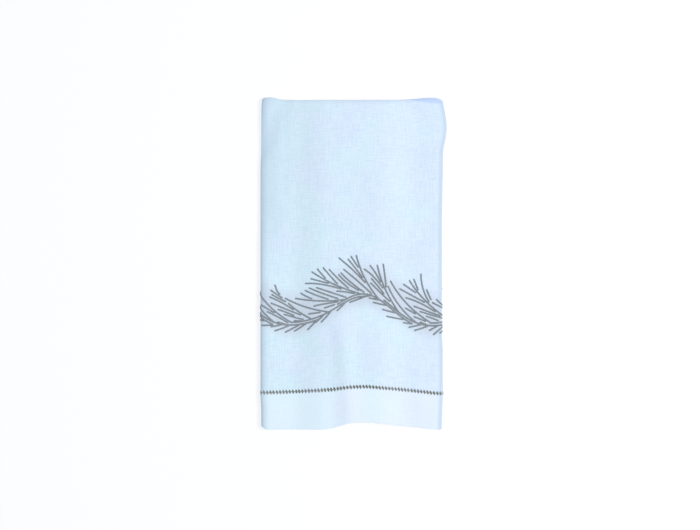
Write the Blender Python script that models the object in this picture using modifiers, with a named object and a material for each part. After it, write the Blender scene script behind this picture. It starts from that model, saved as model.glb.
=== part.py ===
"""A linen hand towel, folded in three lengthwise and once across the middle, lying on its back half.

The towel is one sheet of cloth. A point of the flat cloth is named by two lengths: across, from
the free edge of the left flap to the free edge of the right one, and along, from the stitched hem
of the front over the top fold to the plain hem of the back. The front panel's right side faces up,
+X is across the towel, +Y runs from the hem to the top fold, and the underside is at z = 0.
"""

import math

import bpy
import numpy as np

MM = 0.001

# The cloth as it was cut and hemmed
FLAT_WIDTH = 355.6 * MM
FLAT_LENGTH = 558.8 * MM
CLOTH_THICKNESS = 1.0 * MM
HEM_THICKNESS = 1.25 * MM
FRONT_HEM_DEPTH = 30.5 * MM
BACK_HEM_DEPTH = 25.0 * MM
HEM_STEP = 1.5 * MM

# The folded towel, seen from above
FOLDED_WIDTH = 154.0 * MM
FRONT_EDGE_Y = -140.5 * MM
TOP_FOLD_Y = 138.5 * MM

# The right side fold bulges near the top, which sets the middle of the outline this far to the right
OUTLINE_MIDDLE_X = 1.6 * MM

# The stack of six layers
LAYER_PITCH = 1.6 * MM
PANEL_SLACK = 0.6 * MM
FLAP_FALL = 32.0 * MM
FLAP_RECESS = 1.5 * MM
TOP_LOFT = 0.6 * MM

# Half widths of the side folds, where the cloth turns from a flap to the panel
LEFT_FOLD_FRONT = 2.2 * MM
RIGHT_FOLD_FRONT = 1.4 * MM
FOLD_BACK = 0.8 * MM

# The panel stands off its flaps beside each fold, because the cloth there is bent and not creased
LEFT_LOFT = 2.0 * MM
LEFT_LOFT_WIDTH = 36.0 * MM
RIGHT_LOFT = 0.9 * MM
RIGHT_LOFT_WIDTH = 26.0 * MM

# The radius of the top fold, for the length of cloth that it takes up
ROLL_RADIUS = 4.4 * MM

# The side folds in millimetres: how far each one runs outside half the folded width, by height
SIDE_EDGE_COLUMNS = ("y", "left", "right")
SIDE_EDGES = (
    (140, -1.4, -0.3),
    (132, -0.8, 1.0),
    (124, -0.7, 2.5),
    (115, -0.7, 3.4),
    (105, -0.6, 2.2),
    (95, -0.5, 0.3),
    (78, 0.0, 0.0),
    (28, 0.0, -0.8),
    (-57, 0.0, -0.8),
    (-74, 0.0, 0.0),
    (-108, 0.0, 0.0),
    (-125, -0.8, -0.7),
    (-140, -0.8, -1.0),
)

# The hem's wave in millimetres: how far the edge and the stitched line are drawn up, by place across
HEM_WAVE_COLUMNS = ("x", "edge", "stitched_line")
HEM_WAVE = (
    (-77, 0.0, 0.8),
    (-50, 0.0, 1.5),
    (-27, 0.1, 2.8),
    (-17, 1.1, 3.5),
    (-9, 3.3, 4.6),
    (0, 5.8, 5.6),
    (12, 6.2, 5.9),
    (25, 5.3, 4.9),
    (42, 3.2, 3.3),
    (58, 1.5, 1.6),
    (77, -0.3, -0.1),
)
WAVE_FADE = 110.0 * MM

# The top fold: how far its crest rises in millimetres, and the share by which the front quarter of
# its roll is slack, by place across in millimetres
TOP_FOLD_COLUMNS = ("x", "rise", "slack")
TOP_FOLD = (
    (-77, 1.9, 0.0),
    (-70, 2.2, 0.0),
    (-60, 0.4, 0.0),
    (-45, -0.1, 0.0),
    (40, 0.0, 0.0),
    (52, 0.7, 0.3),
    (66, 1.8, 0.8),
    (77, 1.8, 1.0),
)
TOP_RISE_FADE = 40.0 * MM

# The rounded corners in millimetres: how far each is drawn in, and over what distance
CORNER_COLUMNS = ("side", "end", "drawn_in", "reach")
CORNERS = (
    ("left", "hem", 2.8, 5.0),
    ("right", "hem", 0.6, 2.5),
    ("left", "top", 1.4, 6.0),
    ("right", "top", 2.4, 7.0),
)

# Soft ridges and troughs of the front panel, in millimetres, each along a line on the towel
CREASE_COLUMNS = ("from_x", "from_y", "to_x", "to_y", "half_width", "height")
CREASES = (
    (14, -141, 11, -62, 19, 2.6),
    (-57, 142, -75, 100, 7, -1.2),
    (29, 0, 60, 20, 7, -0.7),
    (30, -52, 58, -66, 8, -0.7),
    (-40, -74, -12, -88, 13, -0.6),
    (-5, 96, 30, 60, 20, 0.8),
    (48, 34, 62, -30, 14, 0.7),
)
CREASE_TAPER = 16.0 * MM

# How finely each stretch of the cloth is divided
FLAP_CELLS = 8
FOLD_CELLS = 6
PANEL_CELLS = 16
HEM_CELLS = 4
FRONT_CELLS = 19
ROLL_CELLS = 8
BACK_CELLS = 12
BACK_HEM_CELLS = 2

LINEN_COLOR = (0.77, 0.87, 0.95, 1.0)
LINEN_ROUGHNESS = 0.9

HALF_WIDTH = FOLDED_WIDTH / 2
LEFT_ARC = math.pi * LEFT_FOLD_FRONT
RIGHT_ARC = math.pi * RIGHT_FOLD_FRONT
PANEL_WIDTH = FOLDED_WIDTH - LEFT_FOLD_FRONT - RIGHT_FOLD_FRONT
FLAP_WIDTH = (FLAT_WIDTH - PANEL_WIDTH - LEFT_ARC - RIGHT_ARC) / 2
PANEL_START = FLAP_WIDTH + LEFT_ARC
PANEL_END = PANEL_START + PANEL_WIDTH
LEFT_FLAP_EDGE_X = -HALF_WIDTH + LEFT_FOLD_FRONT + FLAP_WIDTH
RIGHT_FLAP_EDGE_X = HALF_WIDTH - RIGHT_FOLD_FRONT - FLAP_WIDTH
FRONT_RUN = TOP_FOLD_Y - ROLL_RADIUS - FRONT_EDGE_Y
ROLL_LENGTH = math.pi * ROLL_RADIUS


def mix(first, second, share):
    return first + (second - first) * share


def ease(value):
    """0 up to 0 and 1 from 1, with a smooth rise between."""
    value = np.clip(value, 0.0, 1.0)
    return value * value * (3.0 - 2.0 * value)


def column(table, columns, name):
    return np.array([row[columns.index(name)] for row in table], float)


def smooth_through(places, values, at):
    """The values of a table, joined by a smooth curve that stays between its rows."""
    if places[0] > places[-1]:
        places, values = places[::-1], values[::-1]
    rises = np.diff(values) / np.diff(places)
    before, after = rises[:-1], rises[1:]
    turning = before * after <= 0
    total = np.where(turning, 1.0, before + after)
    slopes = np.zeros(len(places))
    slopes[1:-1] = np.where(turning, 0.0, 2 * before * after / total)
    at = np.clip(at, places[0], places[-1])
    row = np.clip(np.searchsorted(places, at) - 1, 0, len(places) - 2)
    span = places[row + 1] - places[row]
    t = (at - places[row]) / span
    start = values[row] * (1 + 2 * t) * (1 - t) ** 2 + slopes[row] * span * t * (1 - t) ** 2
    end = values[row + 1] * t**2 * (3 - 2 * t) + slopes[row + 1] * span * t**2 * (t - 1)
    return start + end


def from_table(table, columns, key, name, at, unit=MM):
    """One column of a table in millimetres, read at places in metres along its key column."""
    return smooth_through(column(table, columns, key), column(table, columns, name), at / MM) * unit


def place_across(across, back):
    """x of a point of the cloth, and its share of the panel: 0 on a flap, 1 on the panel."""
    left = mix(LEFT_FOLD_FRONT, FOLD_BACK, back)
    right = mix(RIGHT_FOLD_FRONT, FOLD_BACK, back)
    left_turn = np.pi * np.clip((across - FLAP_WIDTH) / LEFT_ARC, 0, 1)
    right_turn = np.pi * np.clip((across - PANEL_END) / RIGHT_ARC, 0, 1)
    left_x = -HALF_WIDTH + left * (1 - np.sin(left_turn)) + np.maximum(FLAP_WIDTH - across, 0)
    panel_x = mix(-HALF_WIDTH + left, HALF_WIDTH - right, (across - PANEL_START) / PANEL_WIDTH)
    past_fold = np.maximum(across - PANEL_END - RIGHT_ARC, 0)
    right_x = HALF_WIDTH - right * (1 - np.sin(right_turn)) - past_fold
    x = np.where(across < PANEL_START, left_x, np.where(across <= PANEL_END, panel_x, right_x))
    share = (1 - np.cos(left_turn)) / 2 * (1 + np.cos(right_turn)) / 2
    return x, share


def creases(x, y):
    """Height of the soft ridges and troughs at a place on the panel."""
    height = np.zeros(np.shape(x))
    for row in CREASES:
        from_x, from_y, to_x, to_y, half_width, rise = (value * MM for value in row)
        run_x, run_y = to_x - from_x, to_y - from_y
        length = math.hypot(run_x, run_y)
        forward = ((x - from_x) * run_x + (y - from_y) * run_y) / length
        aside = ((x - from_x) * run_y - (y - from_y) * run_x) / length
        past_end = np.maximum(np.maximum(-forward, forward - length), 0)
        height += rise * np.exp(-((aside / half_width) ** 2) - (past_end / CREASE_TAPER) ** 2)
    return height


def layer_heights(across, share, x, y, rest, near_top):
    """Mid-height of the front layer and of the back layer at a point of the cloth.

    rest is the mid-height of the lowest layer. From the bottom, the layers are the back panel, the
    back right flap, the back left flap, the front left flap, the front right flap and the front
    panel, and each sinks by one layer where a flap under it has ended.
    """
    over_right_flap = ease((x - RIGHT_FLAP_EDGE_X + FLAP_FALL) / FLAP_FALL)
    over_left_flap = ease((LEFT_FLAP_EDGE_X + FLAP_FALL - x) / FLAP_FALL)
    on_left = across < FLAT_WIDTH / 2
    back_flap = rest + LAYER_PITCH * np.where(on_left, 1 + over_right_flap, 1)
    front_left_flap = rest + LAYER_PITCH * (1 + over_right_flap + over_left_flap)
    front_left_flap = front_left_flap + TOP_LOFT * near_top
    front_flap = front_left_flap + np.where(on_left, 0, LAYER_PITCH * over_left_flap)
    loft = LEFT_LOFT * ease(1 - (x + HALF_WIDTH) / LEFT_LOFT_WIDTH)
    loft = loft + RIGHT_LOFT * ease(1 - (HALF_WIDTH - x) / RIGHT_LOFT_WIDTH)
    stack = LAYER_PITCH * (over_right_flap + over_left_flap)
    panel = front_left_flap + stack + loft + PANEL_SLACK + creases(x, y)
    return mix(front_flap, panel, share), mix(back_flap, rest, share)


def corner_pull(x, end):
    """How far the cloth's end is drawn in beside the two corners at that end."""
    pull = np.zeros(np.shape(x))
    for side, at, drawn_in, reach in CORNERS:
        if at == end:
            inside = HALF_WIDTH + x if side == "left" else HALF_WIDTH - x
            pull += drawn_in * MM * np.clip(1 - inside / (reach * MM), 0, 1) ** 2
    return pull


def place_on_towel(across, along):
    """The folded place of points of the flat cloth, on the middle of its thickness.

    It is worked out about the middle of the panel, and is then moved so that the origin is in the
    middle of the towel's outline.
    """
    turn = np.pi * np.clip((along - FRONT_RUN) / ROLL_LENGTH, 0, 1)
    back = (1 - np.cos(turn)) / 2
    x, share = place_across(across, back)

    edge_rise = from_table(HEM_WAVE, HEM_WAVE_COLUMNS, "x", "edge", x) + corner_pull(x, "hem")
    line_rise = from_table(HEM_WAVE, HEM_WAVE_COLUMNS, "x", "stitched_line", x)
    crest_rise = from_table(TOP_FOLD, TOP_FOLD_COLUMNS, "x", "rise", x) - corner_pull(x, "top")
    slack = from_table(TOP_FOLD, TOP_FOLD_COLUMNS, "x", "slack", x, unit=1.0)

    past_roll = np.maximum(along - FRONT_RUN - ROLL_LENGTH, 0)
    level = np.minimum(along, FRONT_RUN) - past_roll
    in_hem = np.clip(level / FRONT_HEM_DEPTH, 0, 1)
    above_hem = 1 - ease((level - FRONT_HEM_DEPTH) / WAVE_FADE)
    near_top = ease(1 - (FRONT_RUN - level) / TOP_RISE_FADE)
    from_flap_edge = np.minimum(across, FLAT_WIDTH - across)
    recess = FLAP_RECESS * np.clip(1 - from_flap_edge / FLAP_WIDTH, 0, 1) * (1 - near_top)
    flat_y = FRONT_EDGE_Y + level + mix(edge_rise, line_rise * above_hem, in_hem)
    flat_y = flat_y + near_top * crest_rise + recess

    rest = local_thickness(along) / 2
    front, low = layer_heights(across, share, x, flat_y, rest, near_top)
    radius = (front - low) / 2
    panel_front, panel_low = layer_heights(FLAT_WIDTH / 2, 1.0, x, flat_y, rest, near_top)
    panel_radius = (panel_front - panel_low) / 2
    below_crest = (ROLL_RADIUS - panel_radius * (1 + slack)) * near_top
    stretch = slack * np.where(turn < np.pi / 2, np.sin(turn), near_top)
    y = flat_y + below_crest + radius * (np.sin(turn) + stretch)
    z = (front + low) / 2 + radius * np.cos(turn)

    left = from_table(SIDE_EDGES, SIDE_EDGE_COLUMNS, "y", "left", y)
    right = from_table(SIDE_EDGES, SIDE_EDGE_COLUMNS, "y", "right", y)
    x = x + right * ease(x / HALF_WIDTH) - left * ease(-x / HALF_WIDTH)
    return x - OUTLINE_MIDDLE_X, y, z


def local_thickness(along):
    """Thickness of the cloth, which is greater in the two hems."""
    front_hem = 1 - ease((along - FRONT_HEM_DEPTH) / HEM_STEP)
    back_hem = 1 - ease((FLAT_LENGTH - BACK_HEM_DEPTH - along) / HEM_STEP)
    return mix(CLOTH_THICKNESS, HEM_THICKNESS, np.maximum(front_hem, back_hem))


def stations(stretches):
    """Places along a line made of stretches, each a length and the number of cells in it."""
    places = [0.0]
    for length, cells in stretches:
        start = places[-1]
        places += [start + length * (cell + 1) / cells for cell in range(cells)]
    return np.array(places)


def cloth_stations():
    """The places across and along the flat cloth where its cells meet."""
    across = stations(
        (
            (FLAP_WIDTH, FLAP_CELLS),
            (LEFT_ARC, FOLD_CELLS),
            (PANEL_WIDTH, PANEL_CELLS),
            (RIGHT_ARC, FOLD_CELLS),
            (FLAP_WIDTH, FLAP_CELLS),
        )
    )
    back_run = FLAT_LENGTH - FRONT_RUN - ROLL_LENGTH - BACK_HEM_DEPTH - HEM_STEP
    along = stations(
        (
            (FRONT_HEM_DEPTH, HEM_CELLS),
            (HEM_STEP, 1),
            (FRONT_RUN - FRONT_HEM_DEPTH - HEM_STEP, FRONT_CELLS),
            (ROLL_LENGTH, ROLL_CELLS),
            (back_run, BACK_CELLS),
            (HEM_STEP, 1),
            (BACK_HEM_DEPTH, BACK_HEM_CELLS),
        )
    )
    return across, along


def linen():
    material = bpy.data.materials.new("linen")
    material.use_nodes = True
    shader = material.node_tree.nodes["Principled BSDF"]
    shader.inputs["Base Color"].default_value = LINEN_COLOR
    shader.inputs["Roughness"].default_value = LINEN_ROUGHNESS
    shader.inputs["Metallic"].default_value = 0.0
    return material


def make_towel():
    """A flat grid of cells folded into the towel, then given the cloth's thickness."""
    across, along = cloth_stations()
    columns, rows = len(across) - 1, len(along) - 1
    bpy.ops.mesh.primitive_grid_add(x_subdivisions=columns, y_subdivisions=rows, size=2)
    towel = bpy.context.object
    towel.name = towel.data.name = "towel"

    flat = np.array([vertex.co[:] for vertex in towel.data.vertices])
    at_column = np.rint((flat[:, 0] + 1) / 2 * columns).astype(int)
    at_row = np.rint((flat[:, 1] + 1) / 2 * rows).astype(int)
    folded = np.column_stack(place_on_towel(across[at_column], along[at_row]))
    towel.data.vertices.foreach_set("co", folded.ravel())

    thickness = towel.vertex_groups.new(name="thickness")
    for index, value in enumerate(local_thickness(along[at_row]) / HEM_THICKNESS):
        thickness.add([index], float(value), "REPLACE")
    solidify = towel.modifiers.new("thickness", "SOLIDIFY")
    solidify.thickness = HEM_THICKNESS
    solidify.offset = 0.0
    solidify.vertex_group = thickness.name

    towel.data.materials.append(linen())
    towel.data.shade_smooth()
    return towel


def main():
    for obj in list(bpy.data.objects):
        bpy.data.objects.remove(obj)
    collection = bpy.data.collections.new("hand towel")
    bpy.context.scene.collection.children.link(collection)
    towel = make_towel()
    for owner in list(towel.users_collection):
        owner.objects.unlink(towel)
    collection.objects.link(towel)


main()
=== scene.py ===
"""A folded linen hand towel, with a hemstitched hem and a border of embroidered twigs.

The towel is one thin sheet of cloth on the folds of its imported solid. A point of the flat cloth is
named by two lengths: across, from the free edge of the left flap to the free edge of the right one,
and along, from the stitched hem of the front over the top fold to the plain hem of the back. The
stitches and the embroidery are laid out on the flat cloth too, and are folded with it.
"""

import math
import random

import bpy
import numpy as np
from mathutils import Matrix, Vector


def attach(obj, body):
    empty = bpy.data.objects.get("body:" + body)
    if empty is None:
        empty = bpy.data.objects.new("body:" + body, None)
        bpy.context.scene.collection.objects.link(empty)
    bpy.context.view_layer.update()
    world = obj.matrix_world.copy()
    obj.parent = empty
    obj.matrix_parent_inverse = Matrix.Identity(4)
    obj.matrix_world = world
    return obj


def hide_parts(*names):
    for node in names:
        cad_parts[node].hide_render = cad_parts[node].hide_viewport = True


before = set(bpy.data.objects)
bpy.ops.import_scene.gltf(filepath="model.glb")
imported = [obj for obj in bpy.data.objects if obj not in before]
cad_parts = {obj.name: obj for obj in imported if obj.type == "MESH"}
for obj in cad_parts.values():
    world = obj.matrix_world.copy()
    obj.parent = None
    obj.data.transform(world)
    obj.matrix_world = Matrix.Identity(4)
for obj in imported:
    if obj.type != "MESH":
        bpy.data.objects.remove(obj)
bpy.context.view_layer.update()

bl_info = {
    "name": "Hand Towel",
    "version": (1, 0, 0),
    "blender": (4, 5, 0),
    "location": "3D View > Sidebar > Hand Towel",
    "description": "Folds a hemstitched, embroidered linen hand towel",
    "category": "Add Mesh",
}

MM = 0.001

# The cloth as it was cut and hemmed, and the share of its thickness that is left at its round ends
FLAT_WIDTH = 355.6 * MM
FLAT_LENGTH = 558.8 * MM
FRONT_HEM_DEPTH = 30.5 * MM
BACK_HEM_DEPTH = 25.0 * MM
HEM_STEP = 1.5 * MM
HEM_ROUND = 0.6 * MM
EDGE_SHARE = 0.45

# The folded towel, seen from above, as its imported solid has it
FOLDED_WIDTH = 154.0 * MM
FRONT_EDGE_Y = -140.5 * MM
TOP_FOLD_Y = 138.5 * MM
OUTLINE_MIDDLE_X = 1.6 * MM
LAYER_PITCH = 1.6 * MM
PANEL_SLACK = 0.6 * MM
FLAP_FALL = 32.0 * MM
FLAP_RECESS = 1.5 * MM
TOP_LOFT = 0.6 * MM
LEFT_FOLD_FRONT = 2.2 * MM
RIGHT_FOLD_FRONT = 1.4 * MM
FOLD_BACK = 0.8 * MM
LEFT_LOFT = 2.0 * MM
LEFT_LOFT_WIDTH = 36.0 * MM
RIGHT_LOFT = 0.9 * MM
RIGHT_LOFT_WIDTH = 26.0 * MM
ROLL_RADIUS = 4.4 * MM

# The side folds in millimetres: how far each runs outside half the folded width, by place along y
SIDE_EDGE_COLUMNS = ("y", "left", "right")
SIDE_EDGES = (
    (140, -1.4, -0.3),
    (132, -0.8, 1.0),
    (124, -0.7, 2.5),
    (115, -0.7, 3.4),
    (105, -0.6, 2.2),
    (95, -0.5, 0.3),
    (78, 0.0, 0.0),
    (28, 0.0, -0.8),
    (-57, 0.0, -0.8),
    (-74, 0.0, 0.0),
    (-108, 0.0, 0.0),
    (-125, -0.8, -0.7),
    (-140, -0.8, -1.0),
)

# The hem's wave in millimetres: how far the edge and the stitched line are drawn up, by place across
HEM_WAVE_COLUMNS = ("x", "edge", "stitched_line")
HEM_WAVE = (
    (-77, 0.0, 0.8),
    (-50, 0.0, 1.5),
    (-27, 0.1, 2.8),
    (-17, 1.1, 3.5),
    (-9, 3.3, 4.6),
    (0, 5.8, 5.6),
    (12, 6.2, 5.9),
    (25, 5.3, 4.9),
    (42, 3.2, 3.3),
    (58, 1.5, 1.6),
    (77, -0.3, -0.1),
)
WAVE_FADE = 110.0 * MM

# The top fold: how far its crest rises in millimetres, and how much of the front quarter of its roll
# is pressed to a flat facet, by place across in millimetres
TOP_FOLD_COLUMNS = ("x", "rise", "pressed")
TOP_FOLD = (
    (-77, 1.9, 0.0),
    (-70, 2.2, 0.0),
    (-60, 0.4, 0.0),
    (-45, -0.1, 0.0),
    (38, 0.0, 0.0),
    (52, 0.7, 0.45),
    (66, 1.8, 0.85),
    (77, 1.8, 1.0),
)
FACET_END = math.radians(80)
TOP_RISE_FADE = 40.0 * MM

# The rounded corners: side, end, how far each is drawn in and its reach, both in millimetres
CORNERS = (
    ("left", "hem", 2.8, 5.0),
    ("right", "hem", 0.6, 2.5),
    ("left", "top", 0.7, 3.5),
    ("right", "top", 2.2, 6.5),
)

# Soft ridges and troughs of the front panel, in millimetres, each along a line on the towel: from x,
# from y, to x, to y, half width, height. The first seven are in the solid too, in much the same
# places, and the rest are only here.
CREASES = (
    (-1, -141, -7, -60, 9, 1.9),
    (-57, 142, -75, 100, 7, -1.2),
    (29, 0, 60, 20, 7, -0.7),
    (30, -52, 58, -66, 8, -0.7),
    (-40, -74, -12, -88, 13, -0.6),
    (-5, 96, 30, 60, 20, 0.8),
    (48, 34, 62, -30, 14, 0.7),
    (16, -141, 20, -75, 17, 1.0),
    (57, -125, 54, -58, 10, 0.8),
    (-78, 140, -78, 40, 17, -1.6),
    (-57, 132, -57, 66, 4, -0.35),
    (4, 28, 2, 84, 11, -0.4),
    (-79, -141, -79, 142, 4.5, -1.2),
    (77, -141, 77, 142, 3.0, -0.5),
)
CREASE_TAPER = 16.0 * MM

# Faint waves over the whole panel: length in millimetres, direction in degrees from across, phase,
# height in millimetres
RIPPLES = (
    (47, 24, 0.3, 0.06),
    (31, 101, 1.9, 0.04),
    (23, 64, 4.1, 0.03),
    (17, 152, 2.6, 0.02),
    (12, 8, 5.2, 0.012),
)

# How finely each stretch of the cloth is divided
FLAP_CELLS = 20
FOLD_CELLS = 12
PANEL_CELLS = 100
EDGE_CELLS = 3
FRONT_HEM_CELLS = 12
STITCHED_CELLS = 4
ABOVE_STITCHES_CELLS = 3
FRONT_CELLS = 130
ROLL_CELLS = 36
BACK_CELLS = 36
BACK_HEM_CELLS = 6

HALF_WIDTH = FOLDED_WIDTH / 2
LEFT_ARC = math.pi * LEFT_FOLD_FRONT
RIGHT_ARC = math.pi * RIGHT_FOLD_FRONT
PANEL_WIDTH = FOLDED_WIDTH - LEFT_FOLD_FRONT - RIGHT_FOLD_FRONT
FLAP_WIDTH = (FLAT_WIDTH - PANEL_WIDTH - LEFT_ARC - RIGHT_ARC) / 2
PANEL_START = FLAP_WIDTH + LEFT_ARC
PANEL_END = PANEL_START + PANEL_WIDTH
LEFT_FLAP_EDGE_X = -HALF_WIDTH + LEFT_FOLD_FRONT + FLAP_WIDTH
RIGHT_FLAP_EDGE_X = HALF_WIDTH - RIGHT_FOLD_FRONT - FLAP_WIDTH
FRONT_RUN = TOP_FOLD_Y - ROLL_RADIUS - FRONT_EDGE_Y
ROLL_LENGTH = math.pi * ROLL_RADIUS

# The border of twigs, laid out on the flat cloth: a stem that rises and falls, grown from the right
# and then moved that way by the shift, so that it stops short of the left edge
BORDER_REPEATS = 3
BORDER_REPEAT = FLAT_WIDTH / BORDER_REPEATS
BORDER_CREST = 178.0 * MM
BORDER_SHIFT = 10.0 * MM
BORDER_MIDDLE = 99.3 * MM
BORDER_WAVE = 12.5 * MM
BORDER_RIPPLE = 1.6 * MM
STEM_BRANCHES = 3
STEM_OVERLAP = 26.0 * MM
STEM_SHIFT = 1.9 * MM
LINE_STEP = 0.6 * MM
LINE_CLEARANCE = 2.3 * MM
JOINING_DISTANCE = 1.3 * MM
SIDE_MARGIN = 1.0 * MM

# The shortest bough and sprig that are kept, and how far each runs from its root before it has to
# keep clear of other lines
SHORTEST_BOUGH = 14.0 * MM
BOUGH_SETTLES = 12.0 * MM
SHORTEST_SPRIG = 8.0 * MM
SPRIG_SETTLES = 6.0 * MM

# How twigs spread from the axis of their bough, in degrees: beside it, for each millimetre aside,
# and at most
SPREAD_BESIDE = 14.0
SPREAD_PER_MM = 1.2
SPREAD_WIDEST = 27.0

# The boughs of one repeat: place along the stem as a share of it, angle off the stem in degrees,
# length in millimetres, turn from root to tip in degrees, and the room for twigs below and above
# the bough in millimetres
BOUGHS = (
    (0.00, 26, 48, -34, 10, 6),
    (0.12, 20, 47, -28, 10, 6),
    (0.25, 17, 48, -26, 12, 7),
    (0.38, 17, 46, -24, 12, 7),
    (0.51, 18, 43, -20, 12, 7),
    (0.63, 24, 39, -20, 11, 6),
    (0.75, 36, 36, -26, 10, 6),
    (0.87, 42, 46, -32, 10, 7),
)

# The twigs beside the boughs, long ones first: rounds of growing, and the shortest twig that is
# kept in millimetres
TWIGS = ((140, 24), (140, 17), (140, 11))

# Short twigs straight off the stem: side, distance apart, shortest and longest length in
# millimetres, and angle off the stem in degrees
SPRIGS = (
    (1, 3.0, 10, 24, 17),
    (-1, 7.0, 9, 18, 23),
)

# The hemstitches: lean in degrees, a strand's radius, and the strands of one stitch, each with its
# place beside the middle in millimetres and its share of the stitch's length
STITCH_LEAN = 11
STRAND_RADIUS = 0.37 * MM
STRANDS = ((-0.58, 0.7), (0.0, 1.0), (0.58, 0.7))

# How deep the middle of a line of thread lies under the face of the cloth, and how far a strand of a
# hemstitch rises from there
THREAD_SINK = 0.2 * MM
STRAND_RISE = 0.22 * MM
RUNNING_THREAD_SINK = 0.06 * MM

# A thread's lighter and duller places and the painted shade in the grooves between its stitches, as
# shares of its colour, how much of that painted shade is mixed in, and how far the stitches slant
THREAD_LIGHT = 1.75
THREAD_DULL = (0.75, 0.68, 0.45)
THREAD_GROOVE_SHADE = 0.55
GROOVE_SHADE_SHARE = 0.6
STITCH_SLANT = 0.9

# Tints, painted shade and painted light on the linen by place: linear colour, and the most of it that
# is mixed in
TINTS_AND_PAINTED_SHADING = {
    "hem": ((0.84, 0.918, 1.0), 0.6),
    # painted shade on the cloth between the close lines of the twigs
    "shade_among_twigs": ((0.54, 0.59, 0.69), 0.62),
    # painted shade on the upper left of the panel, beside the rounded left fold
    "left_side_shade": ((0.48, 0.625, 0.77), 0.32),
    # painted light on the top fold's roll, lightening it where it curves away
    "top_crest_light": ((0.72, 0.85, 1.0), 0.8),
    # painted shade along the two side folds
    "left_fold_shade": ((0.475, 0.60, 0.75), 0.42),
    "right_fold_shade": ((0.475, 0.60, 0.75), 0.8),
    # painted shade on the flat facet of the top fold at the right
    "top_facet_shade": ((0.51, 0.645, 1.0), 0.68),
}

# The patches of two tints over the whole cloth, and how far they turn to lilac across the panel
MINT = (0.63, 0.83, 0.92)
LILAC = (0.675, 0.755, 0.945)
PATCH_SIZE = 34.0 * MM
MOTTLE_SHARE = 0.45
LILAC_RIGHTWARD = 0.4

# The stage, and the photo's frame at the height of the towel's front
FLOOR_SIZE = 6.0
FLOOR_DROP = 0.1 * MM
FLOOR_GLOW_COLOR = (0.985, 0.99, 1.0)
FLOOR_GLOW = 0.785
SKY_COLOR = (0.93, 0.98, 1.06)
KEY_PLACE = (0.90, 0.0, 1.62)
KEY_SIZE = 0.81
KEY_COLOR = (1.0, 0.97, 0.92)
CAMERA_MIDDLE = (-3.05 * MM, -1.3 * MM)
FRONT_HEIGHT = 9.0 * MM
PHOTO_WIDTH = 700
PHOTO_MM_PER_PIXEL = 0.8455
SENSOR_WIDTH = 36.0


class HandTowelCloth(bpy.types.PropertyGroup):
    """The linen."""

    thickness: bpy.props.FloatProperty(
        name="Thickness",
        description="Thickness of the single cloth",
        default=0.55 * MM,
        unit="LENGTH",
        precision=5,
    )
    hem_thickness: bpy.props.FloatProperty(
        name="Hem thickness",
        description="Thickness of the folded cloth in the hems",
        default=0.95 * MM,
        unit="LENGTH",
        precision=5,
    )
    yarn_pitch: bpy.props.FloatProperty(
        name="Yarn pitch",
        description="Distance from one yarn of the plain weave to the next",
        default=0.5 * MM,
        unit="LENGTH",
        precision=5,
    )
    color: bpy.props.FloatVectorProperty(
        name="Linen",
        description="Colour of the cloth",
        subtype="COLOR",
        size=3,
        min=0.0,
        max=1.0,
        default=(0.698, 0.826, 0.933),
    )
    shade: bpy.props.FloatVectorProperty(
        name="Linen in its slubs",
        description="Colour of the thicker, duller yarns",
        subtype="COLOR",
        size=3,
        min=0.0,
        max=1.0,
        default=(0.564, 0.722, 0.87),
    )


class HandTowelThread(bpy.types.PropertyGroup):
    """The hemstitching and the embroidery."""

    stitch_pitch: bpy.props.FloatProperty(
        name="Stitch pitch",
        description="Distance from one hemstitch to the next",
        default=2.715 * MM,
        unit="LENGTH",
        precision=5,
    )
    stitch_length: bpy.props.FloatProperty(
        name="Stitch length",
        description="Length of a hemstitch up the cloth",
        default=4.6 * MM,
        unit="LENGTH",
        precision=5,
    )
    stitch_color: bpy.props.FloatVectorProperty(
        name="Hemstitch thread",
        description="Colour of the thread in the hemstitching",
        subtype="COLOR",
        size=3,
        min=0.0,
        max=1.0,
        default=(0.21, 0.227, 0.232),
    )
    line_width: bpy.props.FloatProperty(
        name="Line width",
        description="Width of an embroidered line",
        default=1.62 * MM,
        unit="LENGTH",
        precision=5,
    )
    line_color: bpy.props.FloatVectorProperty(
        name="Embroidery thread",
        description="Colour of the thread in the twigs",
        subtype="COLOR",
        size=3,
        min=0.0,
        max=1.0,
        default=(0.198, 0.226, 0.254),
    )
    growth: bpy.props.IntProperty(
        name="Growth",
        description="Another number grows other twigs on the same stem",
        default=3,
        min=0,
    )


class HandTowelStage(bpy.types.PropertyGroup):
    """The floor, the light and the camera."""

    camera_height: bpy.props.FloatProperty(
        name="Camera height",
        description="Height of the camera above the floor",
        default=1.5,
        unit="LENGTH",
    )
    dome_strength: bpy.props.FloatProperty(
        name="Dome light",
        description="Strength of the even light from all round",
        default=0.5,
        min=0.0,
    )
    key_power: bpy.props.FloatProperty(
        name="Key light",
        description="Power of the large soft lamp on the right",
        default=24.6,
        min=0.0,
        unit="POWER",
    )
    floor_color: bpy.props.FloatVectorProperty(
        name="Floor",
        description="Colour of the floor",
        subtype="COLOR",
        size=3,
        min=0.0,
        max=1.0,
        default=(0.21, 0.21, 0.215),
    )


def mix(first, second, share):
    return first + (second - first) * share


def ease(value):
    """0 up to 0 and 1 from 1, with a smooth rise between."""
    value = np.clip(value, 0.0, 1.0)
    return value * value * (3.0 - 2.0 * value)


def column(table, columns, name):
    return np.array([row[columns.index(name)] for row in table], float)


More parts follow.
